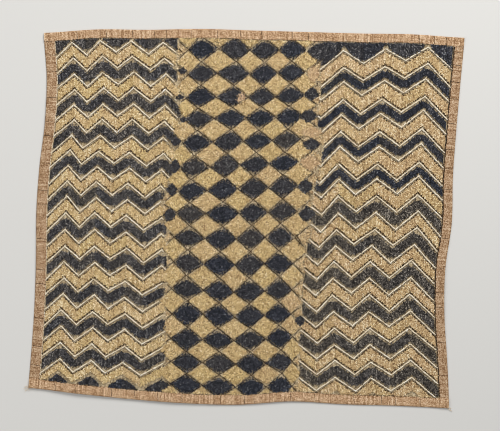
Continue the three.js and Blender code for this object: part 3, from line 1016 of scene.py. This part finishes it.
def bed_patches(panel, dark):
    """The outline of each patch of pile, drawn in from the lines around it and cut to its panel."""
    patches = []
    if panel == "middle":
        fill = (0.78, 0.6, 0.6) if dark else (0.8, 0.8, 0.5)
        for one in DIAMONDS:
            if one.dark == dark and one.whole:
                middle = (one.left + one.right + one.top + one.bottom) / 4
                right, up = (one.right - one.left) / 2 * fill[0], (one.top - one.bottom) / 2 * fill[1]
                patches.append(Patch(rounded_outline(middle, right, up, fill[2]), one.tone))
        for motif in EDGE_MOTIFS:
            if motif.dark == dark:
                middle = np.array([motif.across, motif.down])
                right, up = np.array([0.9 * motif.half_width, 0]), np.array([0, -0.9 * motif.half_height])
                patches.append(Patch(rounded_outline(middle, right, up, 0.56), EDGE_TONE[dark]))
    else:
        for leg in band_legs(panel, dark):
            share = np.linspace(0, 1, 7)
            above, below = worked_edges(leg, share)
            upper, lower = (ends[0] + share[:, None] * (ends[1] - ends[0]) for ends in (leg.upper, leg.lower))
            middle = (upper + lower)[:, 1] / 2
            upper[:, 1] = np.minimum(upper[:, 1] + above + 0.6, middle - 0.2)
            lower[:, 1] = np.maximum(lower[:, 1] - below - 0.6, middle + 0.2)
            patches.append(Patch(np.concatenate([upper, lower[::-1]]), leg.look.tone))
    cut = []
    for outline, tone in patches:
        down = outline[:, 1].mean()
        start, end = panel_edge("start", down), panel_edge("end", down)
        low, high = {
            "left": (HEM.left + BED_MARGIN, start - BED_GAP),
            "middle": (start - BED_OVERRUN, end + BED_OVERRUN),
            "right": (end + BED_GAP, CLOTH_ACROSS - HEM.right - BED_MARGIN),
        }[panel]
        outline = cut_outline(outline, 1, HEM.top + BED_MARGIN, False)
        outline = cut_outline(outline, 1, CLOTH_DOWN - HEM.bottom - BED_MARGIN, True)
        outline = cut_outline(outline, 0, low, False)
        outline = cut_outline(outline, 0, high, True)
        if len(outline) > 2:
            cut.append(Patch(outline, tone))
    return cut


def pile_bed(name, panel, dark, material):
    """The close roots of the pile: a low raised bed under the tufts."""
    bm = bmesh.new()
    tone_layer = bm.faces.layers.float.new("tone")
    for patch in bed_patches(panel, dark):
        face = bm.faces.new([bm.verts.new((across, -down, 0)) for across, down in patch.outline])
        face[tone_layer] = min(max(patch.tone, 0), 1)
    bmesh.ops.remove_doubles(bm, verts=bm.verts, dist=0.01)
    bmesh.ops.recalc_face_normals(bm, faces=bm.faces)
    raised = bmesh.ops.extrude_face_region(bm, geom=bm.faces[:], use_keep_orig=True)["geom"]
    tops = [part for part in raised if isinstance(part, bmesh.types.BMVert)]
    bmesh.ops.translate(bm, verts=tops, vec=(0, 0, 1))
    flat = np.array([v.co for v in bm.verts])
    height = np.where(flat[:, 2] > 0.5, BED_TOP, PILE_ROOT)
    for vert, point in zip(bm.verts, place(flat[:, 0], -flat[:, 1], height)):
        vert.co = point
    bmesh.ops.recalc_face_normals(bm, faces=bm.faces)
    mesh = bpy.data.meshes.new(name)
    bm.to_mesh(mesh)
    bm.free()
    add_uv(mesh, "OFBake", plan_spots(mesh_points(mesh))[mesh_corners(mesh)])
    return add_object(name, mesh, material)


# Stitched lines

def along_line(points, spacing):
    """Places and directions at even steps along a line of points, in cloth millimetres."""
    steps = np.diff(points, axis=0)
    lengths = np.linalg.norm(steps, axis=1)
    places, ways = [], []
    for start, step, length in zip(points[:-1], steps, lengths):
        at = np.arange(spacing / 2, length, spacing) / length
        places.append(start + at[:, None] * step)
        ways.append(np.repeat(step[None, :] / length, len(at), axis=0))
    return np.concatenate(places), np.concatenate(ways)


StitchSize = namedtuple("StitchSize", "length width thick spacing slant height wander")
CREAM_STITCH = StitchSize(5.4, 1.85, 1.7, 2.4, 0.16, 1.95, 0.15)
BROWN_STITCH = StitchSize(3.4, 1.9, 1.0, 4.1, 0.05, 1.45, 0.3)
BROWN_DROP = 3.4
LATTICE_STITCH = StitchSize(3.6, 0.85, 0.9, 2.7, 0.0, 1.5, 0.2)


def stitches(name, places, ways, size, material, tone):
    """A joined mesh of stitches along a worked line."""
    count = len(places)
    places = places + rng.normal(0, size.wander, places.shape)
    origins = place(places[:, 0], places[:, 1], size.height)
    ahead = place(places[:, 0] + ways[:, 0], places[:, 1] + ways[:, 1], size.height) - origins
    turn = np.arctan2(ahead[:, 1], ahead[:, 0]) + size.slant + rng.normal(0, 0.05, count)
    length = size.length * rng.uniform(0.85, 1.15, count) * MM
    width = size.width * rng.uniform(0.8, 1.2, count) * MM
    thick = size.thick * rng.uniform(0.85, 1.15, count) * MM
    axes = turned_axes(turn, length, width)
    axes[:, 2, 2] = thick
    shade = np.clip(rng.normal(0.55, 0.2, count), 0.05, 1)
    return scatter(name, STITCH, origins, axes, shade, rng.normal(tone, 0.2, count), material)


def chevron_stitches(panel, size, drop):
    """Places and ways along a panel's chevron lines, moved by a drop towards the light band. In the left panel
    the lines stop a little before the panel's edge, each at its own place."""
    lines = LEFT_LINES if panel == "left" else RIGHT_LINES
    places, ways = [], []
    for number in range(LINE_COUNT):
        towards_light = drop if number % 2 == 0 else -drop
        spots, directions = along_line(lines[number + 1] + np.array([0, towards_light]), size.spacing)
        stop_short = max(0, rng.normal(3.0, 1.6)) if panel == "left" else 0.5
        past_edge = stop_short if panel == "left" else -stop_short
        keep = in_panel(panel, spots[:, 0] + past_edge, spots[:, 1])
        keep &= (spots[:, 0] > HEM.left + 0.6) & (spots[:, 0] < CLOTH_ACROSS - HEM.right - 0.8)
        places.append(spots[keep])
        ways.append(directions[keep])
    return np.concatenate(places), np.concatenate(ways)


def lattice_stitches():
    """Places and ways along the sides of the light diamonds."""
    places, ways = [], []
    for diamond in DIAMONDS:
        if diamond.dark or not diamond.whole:
            continue
        tips = [diamond.left, diamond.top, diamond.right, diamond.bottom]
        for tip, following in zip(tips, tips[1:] + tips[:1]):
            spots, directions = along_line(np.stack([tip, following]), LATTICE_STITCH.spacing)
            keep = in_panel("middle", spots[:, 0] - LATTICE, spots[:, 1])
            keep &= in_panel("middle", spots[:, 0] + LATTICE, spots[:, 1])
            places.append(spots[keep])
            ways.append(directions[keep])
    return np.concatenate(places), np.concatenate(ways)


# Sewing of the hem, dark stitched lines that carry painted shadow along and across the hems, and loose threads:
# each runs from one place to another.
Sewing = namedtuple("Sewing", "from_across from_down to_across to_down")
# Along the right hem's inner edge: a seam of dark thread, made darker as painted shadow of the hem's raised
# edge.
RIGHT_HEM_SEAM_AND_SHADOW = [Sewing(547.2, 13, 547.2, 471), Sewing(547.4, 473, 547.4, 482)]
BOTTOM_HEM_SEWING = [Sewing(15, 471.3, 546, 471.3)]
# Along the top hem's inner edge, and under its ends where they lie over the side hems: small dark stitches
# whose darkness is painted shadow of the hem's edge.
TOP_HEM_SHADOW_STITCHES = [
    Sewing(15, 11.9, 546, 11.9),
    Sewing(1.5, 12.0, 13.5, 12.0),
    Sewing(547.5, 12.0, 558.5, 12.0),
]
LEFT_HEM_SEWING = [Sewing(14.3, 13, 14.3, 471)]
FRAYED_CORNERS = [
    Sewing(2, 482.5, -5, 485.5),
    Sewing(3, 483, -4, 488),
    Sewing(1, 481, -6, 483),
    Sewing(5, 483, 0, 488.5),
    Sewing(556, 483, 563, 487),
    Sewing(557, 482, 564, 484.5),
    Sewing(24, 22, 31, 29),
]
LOOSE_THREADS = [
    Sewing(352, 266, 356, 270),
    Sewing(356, 270, 359, 275),
    Sewing(359, 275, 357, 279),
    Sewing(228, 16, 233, 18),
    Sewing(180, 26, 184, 30),
]
# Dark lines across the hems, drawn as thin brown stitches: sewing that shows through, with painted shadow of
# the small creases where the hem puckers.
HEM_CROSS_LINES = [Sewing(across, 1, across + 0.8, HEM.top - 1) for across in (
    44, 75, 83, 118, 147, 163, 196, 231, 262, 290, 331, 352, 402, 430, 458, 500, 520, 536)]
HEM_CROSS_LINES += [Sewing(CLOTH_ACROSS - HEM.right + 1, down, CLOTH_ACROSS - 1, down + 0.8) for down in (
    19, 36, 58, 80, 112, 146, 171, 198, 240, 262, 301, 333, 352, 398, 441)]
HEM_CROSS_LINES += [Sewing(1, down, HEM.left - 1, down + 0.8) for down in (
    30, 52, 88, 121, 140, 177, 214, 233, 280, 322, 341, 388, 426, 452)]
HEM_CROSS_LINES += [Sewing(across, CLOTH_DOWN - HEM.bottom + 1, across + 0.8, CLOTH_DOWN - 1) for across in (
    35, 62, 110, 141, 172, 204, 255, 287, 300, 349, 381, 433, 470, 488, 521)]
DARK_SEAM_AND_SHADOW_STITCH = StitchSize(4.4, 1.9, 0.9, 3.6, 0.0, 2.0, 0.25)
SMALL_DARK_STITCH = StitchSize(2.4, 0.8, 0.5, 5.2, 0.0, 2.0, 0.2)
PALE_EDGE_STITCH = StitchSize(4.6, 1.3, 0.9, 4.4, 0.1, 1.95, 0.15)
HEM_CROSS_STITCH = StitchSize(4.2, 0.9, 0.5, 3.4, 0.0, 2.0, 0.15)
FRAYED_STRAND = StitchSize(5.0, 0.7, 0.5, 3.0, 0.0, 1.0, 0.1)
LOOSE_STRAND = StitchSize(4.4, 1.1, 0.9, 2.6, 0.0, 2.7, 0.1)


def sewn(name, runs, size, material, tone):
    """A joined mesh of the stitches along several runs."""
    places, ways = [], []
    for run in runs:
        ends = np.array(run, float).reshape(2, 2)
        spots, directions = along_line(ends, size.spacing)
        places.append(spots)
        ways.append(directions)
    return stitches(name, np.concatenate(places), np.concatenate(ways), size, material, tone)


# Build

ground = woven_ground()
hems = [hem_strip(side) for side in HEM._fields]
pieces = []
for panel in ("left", "right"):
    for dark, colour, material, bed in (
            (True, "dark", DARK_PILE, DARK_BED), (False, "light", LIGHT_PILE, LIGHT_BED)):
        tufts = chevron_tufts(panel, band_legs(panel, dark))
        pieces.append(pile(f"{colour}_pile_{panel}", tufts, CHEVRON_TUFT, material))
        pieces.append(pile_bed(f"{colour}_bed_{panel}", panel, dark, bed))
    pieces.append(stitches(f"cream_lines_{panel}", *chevron_stitches(panel, CREAM_STITCH, 0.0),
                           CREAM_STITCH, CREAM_THREAD, 0.2))
    pieces.append(stitches(f"brown_lines_{panel}", *chevron_stitches(panel, BROWN_STITCH, BROWN_DROP),
                           BROWN_STITCH, BROWN_THREAD_AND_SHADOW, 0.4))
dark_tufts, pale_tufts = worn_apart(join_tufts([diamond_tufts(True), edge_tufts(True)]))
light_tufts = join_tufts([diamond_tufts(False), edge_tufts(False), pale_tufts])
pieces.append(pile("dark_pile_middle", dark_tufts, DIAMOND_TUFT, DARK_PILE))
pieces.append(pile("light_pile_middle", light_tufts, DIAMOND_TUFT, LIGHT_PILE))
pieces.append(pile_bed("dark_bed_middle", "middle", True, DARK_BED))
pieces.append(pile_bed("light_bed_middle", "middle", False, LIGHT_BED))
pieces.append(stitches("lattice_lines", *lattice_stitches(), LATTICE_STITCH, BROWN_THREAD_AND_SHADOW, 0.55))
for name, runs, size, material, tone in (
        ("right_hem_seam_and_shadow", RIGHT_HEM_SEAM_AND_SHADOW, DARK_SEAM_AND_SHADOW_STITCH, BROWN_THREAD_AND_SHADOW, 0.3),
        ("bottom_hem_sewing", BOTTOM_HEM_SEWING, SMALL_DARK_STITCH, BROWN_THREAD_AND_SHADOW, 0.7),
        ("top_hem_shadow_stitches", TOP_HEM_SHADOW_STITCHES, SMALL_DARK_STITCH, BROWN_THREAD_AND_SHADOW, 0.5),
        ("left_hem_sewing", LEFT_HEM_SEWING, PALE_EDGE_STITCH, CREAM_THREAD, 0.7),
        ("hem_cross_lines", HEM_CROSS_LINES, HEM_CROSS_STITCH, BROWN_THREAD_AND_SHADOW, 0.85),
        ("frayed_corners", FRAYED_CORNERS, FRAYED_STRAND, CREAM_THREAD, 0.9),
        ("loose_threads", LOOSE_THREADS, LOOSE_STRAND, BROWN_THREAD_AND_SHADOW, 0.1)):
    pieces.append(sewn(name, runs, size, material, tone))

for piece in [ground] + hems + pieces:
    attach(piece, "root")
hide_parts("raffia_cloth")


# Stage

def pale_floor():
    bm = bmesh.new()
    bmesh.ops.create_grid(bm, x_segments=1, y_segments=1, size=6.0)
    mesh = bpy.data.meshes.new("floor")
    bm.to_mesh(mesh)
    bm.free()
    material, _, shader = new_material("studio_paper")
    shader.inputs["Base Color"].default_value = linear("#d9d7d2")
    shader.inputs["Roughness"].default_value = 0.9
    return add_object("floor", mesh, material)


def soft_light(name, place_at, size, power):
    light = bpy.data.lights.new(name, "AREA")
    light.size = size
    light.energy = power
    lamp = bpy.data.objects.new(name, light)
    lamp.location = place_at
    lamp.rotation_euler = (-Vector(place_at)).to_track_quat("-Z", "Y").to_euler()
    bpy.context.scene.collection.objects.link(lamp)


def overhead_camera():
    """Straight above the cloth, framed as the photograph is."""
    distance = 2.0
    camera = bpy.data.cameras.new("camera")
    camera.sensor_fit = "HORIZONTAL"
    camera.lens = camera.sensor_width * distance / (PHOTO_WIDTH * PIXEL * MM)
    viewer = bpy.data.objects.new("camera", camera)
    right = (PHOTO_WIDTH / 2 - CLOTH_PIXEL[0]) * PIXEL * MM
    up = (CLOTH_PIXEL[1] - PHOTO_HEIGHT / 2) * PIXEL * MM
    viewer.location = (right, up, distance + HEM_TOP * MM)
    bpy.context.scene.collection.objects.link(viewer)
    bpy.context.scene.camera = viewer


pale_floor()
soft_light("key", (0.7, 1.9, 1.6), 1.2, 63)
soft_light("fill", (-1.4, -0.6, 1.7), 1.6, 15)
world = bpy.data.worlds.new("studio")
world.use_nodes = True
world.node_tree.nodes["Background"].inputs["Color"].default_value = linear("#f2f4f8")
world.node_tree.nodes["Background"].inputs["Strength"].default_value = 0.3
bpy.context.scene.world = world
bpy.context.scene.view_settings.view_transform = "Standard"
bpy.context.scene.cycles.filter_width = 1.0
overhead_camera()
